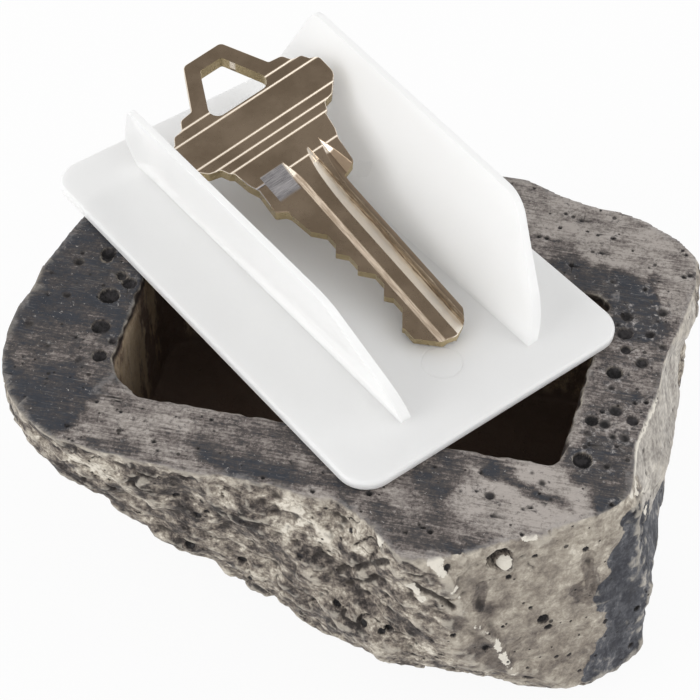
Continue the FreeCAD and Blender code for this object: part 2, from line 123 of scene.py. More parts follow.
# Bubbles that the ground base opened: x, y, radius and depth as a share of the radius
BASE_BUBBLES = [(-34.0, 8.0, 1.0, 0.9), (-31.8, 0.8, 1.35, 0.9), (-31.3, -4.5, 1.2, 0.8),
                (-30.1, -9.1, 1.0, 0.8), (-29.9, 3.4, 1.0, 0.8), (-31.4, 4.6, 0.6, 0.8),
                (-37.2, 5.7, 0.8, 0.5), (-37.2, 7.3, 0.4, 0.8), (-37.0, -0.2, 0.65, 0.5),
                (-36.7, -8.9, 0.5, 0.5), (-32.4, -10.3, 0.55, 0.5), (-33.8, -6.8, 0.35, 0.8),
                (-29.2, -6.5, 0.6, 0.6), (-25.9, -15.4, 0.45, 0.9), (-28.3, -16.2, 0.3, 0.9),
                (-40.0, 3.1, 0.3, 0.9), (-40.1, -5.9, 0.8, 0.35),
                (32.3, 11.2, 0.9, 0.5), (32.3, 8.3, 1.05, 0.7), (32.7, 5.6, 0.7, 0.8),
                (31.7, 1.6, 1.05, 0.9), (34.8, 3.9, 0.9, 0.6), (35.4, 8.8, 0.7, 0.6),
                (36.6, 12.9, 0.8, 0.5), (37.1, 7.1, 0.6, 0.5), (31.6, -0.9, 0.5, 0.5),
                (32.5, -4.3, 0.95, 0.5), (29.8, -6.5, 0.85, 0.9), (31.4, -6.7, 0.8, 0.5),
                (34.6, -5.5, 0.8, 0.7), (30.9, -4.8, 0.4, 0.9), (35.4, -4.0, 0.25, 0.9),
                (35.9, -2.3, 0.4, 0.8), (33.9, -8.3, 0.7, 0.5), (32.5, -8.4, 0.5, 0.6),
                (33.1, -9.8, 0.3, 0.9), (29.6, -8.5, 0.6, 0.5), (29.4, -12.7, 1.2, 1.0),
                (32.3, -13.0, 0.5, 0.6), (19.6, 22.9, 0.35, 0.9), (20.7, 22.8, 0.35, 0.9),
                (24.4, 18.6, 0.4, 0.9), (27.9, 21.7, 0.3, 0.8), (29.1, 24.7, 0.35, 0.8),
                (25.8, 25.2, 0.25, 0.9), (22.6, 27.9, 0.3, 0.8), (24.8, 27.1, 0.4, 0.7),
                (29.9, 16.9, 0.5, 0.5), (34.1, 16.4, 0.4, 0.7), (36.2, 11.2, 0.3, 0.9),
                (39.5, 20.1, 0.4, 0.8), (17.9, 31.8, 0.25, 0.9), (19.6, -20.1, 0.65, 0.7),
                (18.0, -19.8, 0.25, 0.9), (25.2, -17.0, 0.55, 0.5), (23.6, -21.2, 0.25, 0.9),
                (20.2, -22.9, 0.25, 0.9), (33.4, -18.4, 0.35, 0.9), (16.2, -20.2, 0.3, 0.5),
                (23.9, -15.8, 0.35, 0.5), (12.7, -17.3, 0.3, 0.9), (6.0, -22.7, 0.45, 0.8),
                (-0.4, -23.8, 0.35, 0.8), (-6.4, -23.1, 0.3, 0.9), (0.2, -20.9, 0.25, 0.9)]
SMALL_BASE_BUBBLES = 110
# Round pits in the front sides: x, y, height and radius, then how many more are scattered
SIDE_PITS = [(-9.6, -21.7, 17.6, 0.6), (-3.0, -24.0, 18.1, 0.5), (0.8, -25.3, 29.3, 0.35),
             (3.4, -25.7, 31.7, 0.3), (4.5, -25.9, 33.6, 0.4), (6.9, -28.3, 18.1, 0.55),
             (9.0, -28.7, 18.4, 0.5), (3.1, -26.6, 19.0, 0.6), (13.2, -29.2, 15.3, 0.5),
             (14.0, -30.2, 21.8, 0.35), (15.3, -30.6, 21.1, 0.4), (17.8, -31.0, 23.4, 0.4),
             (27.6, -25.3, 21.4, 0.75), (28.6, -24.9, 20.0, 0.5), (35.4, -20.8, 17.1, 0.35),
             (32.1, -23.7, 13.4, 0.3), (30.6, -24.6, 13.8, 0.3), (33.7, -23.4, 9.2, 0.3),
             (27.6, -26.1, 9.7, 0.7), (26.1, -25.8, 23.9, 0.3), (38.8, -17.6, 16.6, 0.5),
             (39.6, -18.3, 9.0, 0.5), (38.2, -12.7, 26.6, 0.35), (-17.4, -22.5, 29.7, 0.5),
             (-15.1, -22.6, 26.5, 0.6), (-1.6, -25.1, 25.6, 0.5), (-16.8, -21.7, 21.2, 0.5)]
SIDE_BUBBLES = 170

# Paint on the ground base: x, y, half length, half width, turn in degrees, and cover from 0 for
# bare to 1 for thick. A later patch lies over the earlier ones.
PAINT = [(-36.3, -1.1, 13.0, 20.0, 0.0, 0.84), (-34.9, -9.7, 9.0, 3.6, 0.0, 0.56),
         (-34.1, -17.6, 4.4, 6.3, 0.0, 0.9), (-20.2, -16.8, 4.8, 2.4, -12.0, 0.3),
         (-21.9, -24.2, 7.0, 2.0, 0.0, 0.4), (-24.6, -22.2, 3.6, 1.1, -5.0, 0.75),
         (-4.1, -19.3, 12.0, 5.0, 0.0, 0.52), (-8.2, -21.8, 5.5, 1.5, -5.0, 0.88),
         (3.0, -24.0, 1.4, 1.6, 0.0, 0.85), (12.2, -26.0, 4.2, 5.6, 0.0, 0.5),
         (13.5, -18.5, 2.6, 4.2, 0.0, 0.7), (17.3, -27.9, 2.4, 0.9, 0.0, 0.88),
         (8.8, -24.3, 0.5, 2.8, 0.0, 0.3), (7.4, -26.2, 1.2, 4.5, 0.0, 0.6),
         (24.2, -19.8, 8.2, 6.0, 0.0, 0.08), (19.7, -16.4, 2.2, 1.5, 0.0, 0.88),
         (24.3, -18.5, 4.0, 0.9, -17.0, 0.84), (33.9, -16.9, 3.2, 4.6, 0.0, 0.88),
         (34.0, -2.4, 5.0, 14.0, 0.0, 0.46), (27.6, 17.6, 8.0, 3.4, -22.0, 0.82),
         (34.4, 12.6, 4.2, 5.6, -20.0, 0.84), (33.9, -1.8, 1.6, 1.0, 0.0, 0.88),
         (31.6, -12.2, 4.4, 4.0, 0.0, 0.7), (24.2, 28.7, 2.0, 1.2, 0.0, 0.75),
         (31.1, 25.3, 12.0, 6.0, -12.0, 0.14), (37.8, 17.0, 2.4, 6.0, 0.0, 0.26),
         (20.5, 21.5, 4.0, 2.0, 0.0, 0.4), (-20.0, 22.0, 14.0, 5.0, 15.0, 0.75)]
BARE_COVER = 0.3

# Washes on the sides: x, y, height, radius, and tone from 0 for black to 1 for cream
WASHES = [(-1.7, -24.6, 33.6, 3.2, 0.76), (2.6, -25.2, 34.6, 2.6, 0.76), (5.0, -26.1, 35.4, 2.0, 0.7),
          (-2.9, -24.6, 29.3, 2.0, 0.8), (0.9, -25.4, 30.7, 1.8, 0.75), (-27.8, -22.2, 32.3, 2.6, 0.85),
          (-25.7, -21.5, 29.5, 2.0, 0.7), (-13.3, -22.4, 25.7, 1.6, 0.85), (-31.3, -22.0, 34.0, 1.8, 0.8),
          (-17.4, -22.5, 29.7, 1.8, 0.2), (-15.1, -22.6, 26.5, 1.6, 0.25), (-16.8, -21.7, 21.2, 1.8, 0.3),
          (-14.2, -22.0, 21.8, 1.3, 0.25), (-7.8, -24.3, 28.9, 1.6, 0.3), (-1.6, -25.0, 26.6, 1.6, 0.25),
          (-0.3, -25.4, 25.4, 1.2, 0.2), (-3.8, -24.0, 16.0, 2.2, 0.35), (0.8, -24.3, 11.2, 2.4, 0.3),
          (3.6, -25.8, 12.2, 2.0, 0.3), (16.6, -29.7, 15.8, 1.6, 0.25), (19.0, -29.3, 14.9, 1.6, 0.3),
          (2.1, -25.1, 24.7, 1.0, 0.25), (6.1, -27.3, 26.0, 1.0, 0.3), (7.5, -28.0, 22.5, 3.0, 0.62),
          (4.9, -26.8, 20.7, 2.0, 0.7), (14.0, -29.5, 18.0, 2.0, 0.6), (18.2, -30.8, 24.8, 1.2, 0.25),
          (21.4, -28.9, 22.7, 2.2, 0.42), (20.6, -29.8, 19.5, 2.2, 0.36), (23.0, -28.7, 15.5, 2.4, 0.36),
          (14.5, -30.6, 33.6, 1.2, 0.3), (16.4, -30.5, 31.2, 1.4, 0.34), (11.2, -29.6, 28.8, 2.0, 0.5),
          (21.2, -28.4, 26.4, 1.3, 0.3), (27.2, -25.4, 27.0, 4.5, 0.64), (32.2, -22.0, 33.0, 3.0, 0.7),
          (-24.0, -20.0, 24.0, 4.0, 0.3), (-36.0, -17.0, 27.0, 6.0, 0.4)]
# Dark paint on the right: x of its edge at the base and how far it moves out per millimetre down, the
# height where it steps in again and by how much, and the height it reaches and how that falls off along Y
DARK_EDGE = (33.4, 0.15)
DARK_FOOT = (15.0, 3.0)
DARK_UNDER = (35.4, 0.88)

# Key: its tip's place, and the directions of its blade, its cuts and its top face
KEY_PLACE = (10.99, -0.39, 40.57)
KEY_ALONG = (-0.7597, 0.6073, 0.2323)
KEY_ACROSS = (-0.6473, -0.7401, -0.1821)
KEY_NORMAL = (0.0613, -0.2887, 0.9555)
# Over the key, each a pair of values that a region fades between: how deep under the top face the cutters
# went and where the underside begins, then along the key where its blade ends and its bow begins
KEY_SUNK = (-0.03, -0.07)
KEY_UNDERSIDE = (-1.6, -1.5)
KEY_BLADE = (28.6, 27.6)
KEY_BOW = (28.8, 29.2)
# Ends of the pad along the key, then across it, positive towards the cuts: the pad's edge, the floor
# beside the cuts, the end of the narrow slot, the span of the wide slot and its steep wall
KEY_PAD = (27.3, 32.5)
KEY_PAD_EDGE = (0.9, 1.1)
KEY_STEP = (0.75, 0.9)
KEY_SLOTS = (-0.6, -0.9)
KEY_WIDE_SLOT = (-1.2, -4.4)
KEY_WALL = (-3.3, -2.95)


def linear(red, green, blue):
    """A colour written as on screen, 0 to 255, as Blender's linear colour."""
    def channel(value):
        share = value / 255
        return share / 12.92 if share <= 0.04045 else ((share + 0.055) / 1.055) ** 2.4
    return (channel(red), channel(green), channel(blue), 1.0)


def ramp(values, low, high):
    """Smooth step of numbers from 0 at low to 1 at high."""
    share = np.clip((values - low) / (high - low), 0, 1)
    return share * share * (3 - 2 * share)


# Node helpers

def make(tree, kind, inputs=None, **settings):
    """A shader node with its settings, and its inputs linked or set."""
    node = tree.nodes.new(kind)
    for name, value in settings.items():
        setattr(node, name, value)
    for name, value in (inputs or {}).items():
        if isinstance(value, bpy.types.NodeSocket):
            tree.links.new(value, node.inputs[name])
        else:
            node.inputs[name].default_value = value
    return node


def new_material(name):
    """A material with its node tree and its main shader."""
    material = bpy.data.materials.new(name)
    material.use_nodes = True
    return material, material.node_tree, material.node_tree.nodes["Principled BSDF"]


def place_of(tree, stretch=(1, 1, 1)):
    """The piece's own coordinates in millimetres, stretched."""
    own = make(tree, "ShaderNodeTexCoord").outputs["Object"]
    scale = tuple(1 / MM / s for s in stretch)
    return make(tree, "ShaderNodeVectorMath", {0: own, 1: scale}, operation="MULTIPLY").outputs[0]


def grain(tree, size, detail=4.0, stretch=(1, 1, 1), rough=0.55, twist=0.0):
    """Noise with features of about that many millimetres."""
    place = place_of(tree, stretch)
    inputs = {"Vector": place, "Scale": 1 / size, "Detail": detail, "Roughness": rough, "Distortion": twist}
    return make(tree, "ShaderNodeTexNoise", inputs).outputs["Fac"]


def band(tree, value, low, high):
    """0 under low, 1 over high and smooth between them."""
    inputs = {"Value": value, "From Min": low, "From Max": high}
    return make(tree, "ShaderNodeMapRange", inputs, interpolation_type="SMOOTHSTEP").outputs["Result"]


def maths(tree, operation, first, second=0.0):
    """Two values put together."""
    return make(tree, "ShaderNodeMath", {0: first, 1: second}, operation=operation).outputs[0]


def mix(tree, share, first, second):
    """The first colour at share 0 and the second at share 1."""
    node = make(tree, "ShaderNodeMix", {0: share, 6: first, 7: second}, data_type="RGBA")
    return node.outputs[2]


def stored(tree, name):
    """A mask that the mesh keeps at its points."""
    return make(tree, "ShaderNodeAttribute", attribute_name=name).outputs["Fac"]


def stops(tree, value, colours):
    """A colour read off along a row of stops, each a place and a colour written 0 to 255."""
    node = make(tree, "ShaderNodeValToRGB", {0: value})
    row = node.color_ramp.elements
    while len(row) < len(colours):
        row.new(0.5)
    for element, (place, colour) in zip(row, colours):
        element.position = place
        element.color = linear(*colour)
    return node.outputs[0]


def plus(tree, first, *shares):
    """The first value with others added, each centred on a half and weighed."""
    for value, weight in shares:
        inputs = {0: value, 1: weight, 2: -0.5 * weight}
        share = make(tree, "ShaderNodeMath", inputs, operation="MULTIPLY_ADD").outputs[0]
        first = maths(tree, "ADD", first, share)
    return first


def product(tree, first, *others):
    """Values times one another."""
    for other in others:
        first = maths(tree, "MULTIPLY", first, other)
    return first


def opposite(tree, value):
    """1 less the value."""
    return maths(tree, "SUBTRACT", 1.0, value)


def rescaled(tree, value, low, high, first=0.0, last=1.0):
    """A value drawn from one span to another, and kept inside it."""
    inputs = {"Value": value, "From Min": first, "From Max": last, "To Min": low, "To Max": high}
    return make(tree, "ShaderNodeMapRange", inputs).outputs[0]


def centred(tree, value, weight):
    """The value less a half, times a weight."""
    return weighed(tree, maths(tree, "SUBTRACT", value, 0.5), weight)


def ragged(tree, mask, grains, low, high):
    """A stored mask whose edge is broken up by grains, each with its weight."""
    return band(tree, plus(tree, stored(tree, mask), *grains), low, high)


def bumped(tree, shader, height, distance, strength):
    """Fine relief on a shader, its distance in millimetres."""
    bump = make(tree, "ShaderNodeBump", {"Height": height, "Distance": distance * MM, "Strength": strength})
    tree.links.new(bump.outputs[0], shader.inputs["Normal"])


def weighed(tree, value, weight):
    """The value times a weight."""
    return maths(tree, "MULTIPLY", value, weight)


# Stone: shape

def link(obj):
    bpy.context.scene.collection.objects.link(obj)
    return obj


def applied(obj):
    """The object's mesh with its modifiers applied, in their place."""
    mesh = bpy.data.meshes.new_from_object(obj.evaluated_get(bpy.context.evaluated_depsgraph_get()))
    obj.modifiers.clear()
    old, obj.data = obj.data, mesh
    bpy.data.meshes.remove(old)
    return obj


def remeshed_stone():
    """The CAD stone as one even mesh, fine enough to carve."""
    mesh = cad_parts["stone_shell"].data.copy()
    mesh.materials.clear()
    shape = bmesh.new()
    shape.from_mesh(mesh)
    bmesh.ops.remove_doubles(shape, verts=shape.verts, dist=0.001 * MM)
    shape.to_mesh(mesh)
    shape.free()
    stone = link(bpy.data.objects.new("cast_stone", mesh))
    remesh = stone.modifiers.new("even", "REMESH")
    remesh.mode = "VOXEL"
    remesh.voxel_size = VOXEL * MM
    remesh.adaptivity = 0.0
    return applied(stone)


def read_points(mesh):
    """The mesh's points in millimetres."""
    points = np.empty(len(mesh.vertices) * 3)
    mesh.vertices.foreach_get("co", points)
    return points.reshape(-1, 3) / MM


def write_points(mesh, points):
    mesh.vertices.foreach_set("co", (points * MM).ravel())
    mesh.update()


def read_normals(mesh):
    normals = np.empty(len(mesh.vertices) * 3, np.float32)
    mesh.vertex_normals.foreach_get("vector", normals)
    return normals.reshape(-1, 3).astype(float)


def read_edges(mesh):
    edges = np.empty(len(mesh.edges) * 2, np.int32)
    mesh.edges.foreach_get("vertices", edges)
    return edges.reshape(-1, 2)


def relaxed(values, edges, rounds):
    """Each point's value drawn to the mean of its neighbours', a few times over."""
    count = len(values)
    first, second = edges[:, 0], edges[:, 1]
    degree = np.bincount(first, minlength=count) + np.bincount(second, minlength=count)
    values = values.reshape(count, -1).copy()
    for _ in range(rounds):
        for column in range(values.shape[1]):
            row = values[:, column]
            total = np.bincount(first, row[second], count) + np.bincount(second, row[first], count)
            values[:, column] = 0.5 * row + 0.5 * total / degree
    return values


def noise_at(points, size, seed, ridged=False):
    """Noise from -1 to 1 with features of about that size, or creased with lines at 0."""
    shift = Vector((13.1 * seed, -7.7 * seed, 3.3 * seed))
    scale = 1 / size
    values = np.array([noise.noise(Vector(p) * scale + shift) for p in points.tolist()])
    return np.abs(values) if ridged else values


def pocket_distance(points):
    """Distance of each point from the mouth of the key cavity in plan, negative inside."""
    distance = np.full(len(points), -1e9)
    for first, second in zip(POCKET, POCKET[1:] + POCKET[:1]):
        edge = np.array(second) - np.array(first)
        outward = np.array((-edge[1], edge[0])) / np.linalg.norm(edge)
        distance = np.maximum(distance, (points[:, :2] - np.array(first)) @ -outward)
    return distance


def region_masks(points, normals):
    """How much each point belongs to the ground base, the key cavity, the sides and their smooth facets.

    level is the ground base with the part of it over the key cavity's rounded corners.
    """
    inside = pocket_distance(points)
    depth = STONE_TOP - points[:, 2]
    pocket = (1 - ramp(inside, 0.2, 0.7)) * ramp(points[:, 2], POCKET_FLOOR - 1.2, POCKET_FLOOR - 0.6)
    base = (1 - ramp(depth, 0.1, 0.45)) * ramp(normals[:, 2], 0.5, 0.8)
    offset = points[:, 0] * FACET_NORMAL[0] + points[:, 1] * FACET_NORMAL[1]
    offset -= FACET_OFFSET + FACET_GROWTH * depth
    facet = ramp(offset, -2.2, -0.8) * ramp(points[:, 0], FACET_SPAN[0], FACET_SPAN[0] + 3)
    facet *= ramp(normals[:, 0] * FACET_NORMAL[0] + normals[:, 1] * FACET_NORMAL[1], 0.7, 0.93)
    side = (1 - pocket) * (1 - base)
    flank = ramp(points[:, 0], FLANK_START, FLANK_START + 1.5) * ramp(normals[:, 0], 0.45, 0.7)
    shaken = points[:, 1] + 5.0 * noise_at(points, 6.0, 70) + 2.0 * noise_at(points, 2.0, 71)
    flank *= ramp(shaken, FLANK_ENDS[0], FLANK_ENDS[0] + 3)
    flank *= 1 - ramp(shaken, FLANK_ENDS[1], FLANK_ENDS[1] + 3)
    facet = np.maximum(facet, flank)
    return {"level": base, "base": base * (1 - pocket), "pocket": pocket, "side": side,
            "facet": facet * side, "flank": flank * side}


def line_distance(points, lines):
    """Distance of each point from the nearest of some bent lines."""
    nearest = np.full(len(points), 1e9)
    for places in lines:
        line = [np.array(place) for place in places]
        for first, second in zip(line, line[1:]):
            along = second - first
            share = np.clip((points - first) @ along / (along @ along), 0, 1)
            gap = np.linalg.norm(points - first - share[:, None] * along, axis=1)
            nearest = np.minimum(nearest, gap)
    return nearest


def clefts_at(points):
    """Thin clefts of the broken surface, 1 at their bottom."""
    bent = points + 0.9 * np.stack([noise_at(points, 2.2, seed) for seed in (9, 10, 11)], axis=1)
    clefts = 1 - ramp(noise_at(bent, 4.2, 2, ridged=True), 0.0, 0.075)
    return clefts * ramp(noise_at(points, 7.0, 12), -0.1, 0.25)


def rock_relief(points, masks, clefts):
    """Relief of the broken surface at each point: swells, layers, thin clefts and fine grit."""
    swell = noise_at(points, 6.5, 3) + 0.6 * noise_at(points, 3.2, 1)
    tilted = points @ np.array(((1.0, 0.0, 0.35), (0.0, 1.0, 0.25), (-0.35, -0.25, 1.0)))
    layers = noise_at(tilted / np.array((9.0, 9.0, 1.5)), 1.0, 6)
    small = noise_at(points, 1.5, 4)
    grit = noise_at(points, 0.8, 5)
    relief = 0.35 * swell + 0.34 * layers - 0.5 * clefts + 0.27 * small + 0.18 * grit
    calm = 0.2 * swell + 0.1 * layers - 0.2 * clefts + 0.12 * small + 0.06 * grit
    relief = relief * (1 - masks["facet"]) + calm * masks["facet"]
    relief += 0.4 * (1 - ramp(line_distance(points, CHIPPED), 0.2, 1.1))
    relief -= 0.5 * (1 - ramp(line_distance(points, LEDGES), 0.1, 0.6))
    return relief - 0.2 * (1 - ramp(line_distance(points, STAINS), 0.1, 0.8))


def carve_bubble(points, centre, normal, radius, depth):
    """Pushes the points round one opened bubble down onto its wall, and tells which and how far."""
    away = points - centre
    near = np.flatnonzero(np.einsum("ij,ij->i", away, away) < (1.5 * radius) ** 2)
    height = away[near] @ normal
    across = np.linalg.norm(away[near] - height[:, None] * normal, axis=1)
    wall = -depth * radius * np.sqrt(np.clip(1 - (across / radius) ** 2, 0, None))
    sink = np.where(across < radius, np.maximum(height - wall, 0), 0)
    points[near] -= sink[:, None] * normal
    return near, sink


def raise_dome(points, place, normal, height):
    """Lifts the points round a place into a round dome."""
    away = points - np.array(place[:3])
    level = away @ normal
    gap = np.linalg.norm(away - level[:, None] * normal, axis=1)
    near = (gap < place[3]) & (np.abs(level) < 3 * place[3])
    lift = height * np.sqrt(np.clip(1 - (gap / place[3]) ** 2, 0, None)) * near
    points += lift[:, None] * normal


def base_bubbles():
    """Bubbles in the ground base, the small ones scattered: x, y, radius and depth."""
    chance = random.Random(SEED)
    bubbles = list(BASE_BUBBLES)
    while len(bubbles) < len(BASE_BUBBLES) + SMALL_BASE_BUBBLES:
        x, y = chance.uniform(-41, 40), chance.uniform(-30, 33)
        radius = 0.17 + 0.22 * chance.random() ** 2
        if pocket_distance(np.array([(x, y, 0)]))[0] > 0.9:
            bubbles.append((x, y, radius, 0.9))
    return bubbles


def all_bubbles(points, normals, masks):
    """Every bubble to carve: its centre, the way it opens, its radius and its depth."""
    bubbles = []
    for x, y, radius, depth in base_bubbles():
        bubbles.append((np.array((x, y, STONE_TOP)), np.array((0, 0, 1.0)), radius, depth))
    sides = np.flatnonzero((masks["side"] > 0.9) & (points[:, 2] < STONE_TOP - 1.5))
    open_sides = points[sides]
    for x, y, z, radius in SIDE_PITS + [PEBBLE_HOLE]:
        at = sides[np.argmin(np.linalg.norm(open_sides - np.array((x, y, z)), axis=1))]
        bubbles.append((points[at].copy(), normals[at], radius, 0.95))
    chance = random.Random(SEED + 1)
    for _ in range(SIDE_BUBBLES):
        at = sides[chance.randrange(len(sides))]
        radius = 0.22 + 0.45 * chance.random() ** 3
        bubbles.append((points[at].copy(), normals[at], radius, 0.9))
    return bubbles


def refine(mesh, bubbles):
    """Splits the faces round each bubble until they are fine enough to carve it."""
    shape = bmesh.new()
    shape.from_mesh(mesh)
    centres = np.array([bubble[0] for bubble in bubbles])
    radii = np.array([bubble[2] for bubble in bubbles])
    for _ in range(SPLITS):
        edges = list(shape.edges)
        ends = np.array([edge.verts[0].co[:] + edge.verts[1].co[:] for edge in edges]) / MM
        middles = (ends[:, :3] + ends[:, 3:]) / 2
        lengths = np.linalg.norm(ends[:, :3] - ends[:, 3:], axis=1)
        order = np.argsort(middles[:, 0])
        sorted_x = middles[order, 0]
        chosen = np.zeros(len(edges), bool)
        for centre, radius in zip(centres, radii):
            reach = 1.15 * radius + 0.6
            first, last = np.searchsorted(sorted_x, (centre[0] - reach, centre[0] + reach))
            near = order[first:last]
            gap = np.abs(middles[near] - centre).max(axis=1)
            too_long = lengths[near] > max(FINEST, FINE_SHARE * radius)
            chosen[near[(gap < 1.15 * radius + 0.3 * lengths[near]) & too_long]] = True
        split = [edges[index] for index in np.flatnonzero(chosen)]
        bmesh.ops.subdivide_edges(shape, edges=split, cuts=1)
        bmesh.ops.triangulate(shape, faces=[face for face in shape.faces if len(face.verts) > 3])
    shape.to_mesh(mesh)
    shape.free()


def roughen(stone):
    """Gives the even mesh its rounded edges and broken relief, and remembers where the clefts are."""
    mesh = stone.data
    points, normals, edges = read_points(mesh), read_normals(mesh), read_edges(mesh)
    masks = region_masks(points, normals)
    inside = pocket_distance(points)
    depth = STONE_TOP - points[:, 2]
    lip = (1 - ramp(np.abs(inside), 0.5, 1.1)) * (1 - ramp(depth, 0.8, 1.6))
    soft = relaxed(points, edges, SMOOTH_ROUNDS)
    points += (soft - points) * np.maximum(masks["side"], lip)[:, None]
    flat = (masks["base"] > 0.5) & (lip < 0.3)
    points[flat, 2] = STONE_TOP - 0.05 * (1 + noise_at(points[flat], 1.7, 21))
    write_points(mesh, points)
    normals = relaxed(read_normals(mesh), edges, 3)
    under_rim = ramp(STONE_TOP - points[:, 2], 0.0, 2.2)
    clefts = clefts_at(points) * masks["side"] * under_rim
    push = normals * np.stack((np.ones(len(points)), np.ones(len(points)), under_rim), axis=1)
    relief = rock_relief(points, masks, clefts) * masks["side"] * (0.3 + 0.7 * under_rim)
    relief += masks["pocket"] * (0.12 * noise_at(points, 1.4, 8) + 0.2 * noise_at(points, 5.0, 15))
    relief += lip * 0.4 * (noise_at(points, 1.2, 16) - 0.3)
    points += push * relief[:, None]
    write_points(mesh, points)
    # Kept for the painted shade at the clefts' bottom
    store(mesh, "cleft_shade", clefts)


def thin_out(stone):
    """Fewer faces where the stone is plain."""
    thin = stone.modifiers.new("thin", "DECIMATE")
    thin.ratio = min(1.0, FACES / (2 * len(stone.data.polygons)))
    thin.use_collapse_triangulate = True
    return applied(stone)


def bubble_shade_share(points, sunk):
    """Painted shade on the walls of the bubbles: 1 where their points sank, and less round the pebble."""
    under_base = ramp(STONE_TOP - points[:, 2], 0.15, 0.4)
    under_base *= ramp(points[:, 2], STONE_TOP - 2.2, STONE_TOP - 1.8)
    for x, y, radius, _ in BASE_BUBBLES:
        gap = np.hypot(points[:, 0] - x, points[:, 1] - y)
        sunk = np.maximum(sunk, (1 - ramp(gap, 1.1 * radius, 1.3 * radius)) * under_base)
    sunk = sunk * (1 - near_spots(points, [PEBBLE], 1.0, 1.2))
    return sunk * (1 - 0.75 * near_spots(points, [PEBBLE_HOLE], 1.2, 1.5))


def shape_stone(stone):
    """Turns the even mesh into the broken stone."""
    points = read_points(stone.data)
    low, high = points.min(axis=0), points.max(axis=0)
    roughen(stone)
    stone = thin_out(stone)
    mesh = stone.data
    points, normals = read_points(mesh), read_normals(mesh)
    bubbles = all_bubbles(points, normals, region_masks(points, normals))
    refine(mesh, bubbles)
    points = read_points(mesh)
    sunk = np.zeros(len(points))
    outward = np.array((*FACET_NORMAL, FACET_GROWTH))
    outward /= np.linalg.norm(outward)
    for centre, normal, radius, depth in bubbles:
        near, sink = carve_bubble(points, centre, normal, radius, depth)
        # The deeper a point sank into its bubble, the more painted shade it takes
        sunk[near] = np.maximum(sunk[near], ramp(sink, 0.0, 0.45 * radius))
    raise_dome(points, PEBBLE, outward, PEBBLE_LIFT)
    raise_dome(points, DOME, outward, DOME_LIFT)
    write_points(mesh, np.clip(points, np.maximum(low, CAD_LOW), np.minimum(high, CAD_HIGH)))
    store(mesh, "hole", bubble_shade_share(points, sunk))
    return stone


def store(mesh, name, values):
    """Keeps a value from 0 to 1 at each point of the mesh."""
    attribute = mesh.attributes.new(name, "FLOAT", "POINT")
    attribute.data.foreach_set("value", np.clip(values, 0, 1).astype(np.float32))


def warped(points, amount, size, seed):
    """Points shaken about, so that what is measured from them has ragged edges."""
    return points + amount * np.stack([noise_at(points, size, seed + axis) for axis in range(3)], axis=1)


def paint_cover(points):
    """Paint on the ground base: 1 where it is thick, 0 where it is worn away."""
    places = warped(points, 1.4, 3.0, 30) + 0.5 * (warped(points, 1.0, 0.9, 34) - points)
    cover = np.full(len(points), BARE_COVER)
    for x, y, length, width, turn, amount in PAINT:
        angle = math.radians(turn)
        along = (places[:, 0] - x) * math.cos(angle) + (places[:, 1] - y) * math.sin(angle)
        across = (places[:, 1] - y) * math.cos(angle) - (places[:, 0] - x) * math.sin(angle)
        reach = np.sqrt((along / length) ** 2 + (across / width) ** 2)
        edge = 0.5 / min(length, width)
        share = 1 - ramp(reach, 1.0 - edge, 1.0 + edge)
        cover += (amount - cover) * share
    return cover


def powder_share(points):
    """Pale dust round the bubbles of the ground base, most of it on the right."""
    share = np.full(len(points), 0.05)
    for x, y, radius, _ in BASE_BUBBLES:
        gap = np.hypot(points[:, 0] - x, points[:, 1] - y) - radius
        share = np.maximum(share, (0.42 if x > 28 else 0.2) * (1 - ramp(gap, 0.1, 1.6)))
    return share


def wash_tone(points, masks):
    """Tone of the washes on the sides, from 0 for black to 1 for cream."""
    places = warped(points, 1.2, 2.6, 40)
    tone = 0.42 + 0.18 * masks["facet"]
    for x, y, z, radius, amount in WASHES:
        gap = np.linalg.norm(places - np.array((x, y, z)), axis=1)
        tone += (amount - tone) * (1 - ramp(gap, 0.55 * radius, 1.25 * radius))
    return tone


def near_spots(points, spots, inner, outer):
    """1 near the middle of any spot given as x, y, z and radius, 0 away from them all."""
    share = np.zeros(len(points))
    for x, y, z, radius in spots:
        gap = np.linalg.norm(points - np.array((x, y, z)), axis=1)
        share = np.maximum(share, 1 - ramp(gap, inner * radius, outer * radius))
    return share


def dark_share(points):
    """1 where the right-hand side is painted dark, up to a ragged line down the smooth facet."""
    x, y, z = (warped(points, 1.1, 2.2, 50) + warped(points, 3.5, 7.0, 54) - points).T
    right_of = DARK_EDGE[0] + DARK_EDGE[1] * (STONE_TOP - z)
    right_of -= DARK_FOOT[1] * ramp(-z, -DARK_FOOT[0], -DARK_FOOT[0] + 4.0)
    under = DARK_UNDER[0] - DARK_UNDER[1] * (y + 19.0)
    return ramp(x - right_of, -0.5, 0.5) * (1 - ramp(z - under, -0.8, 0.8)) * (1 - ramp(y, 2.0, 8.0))


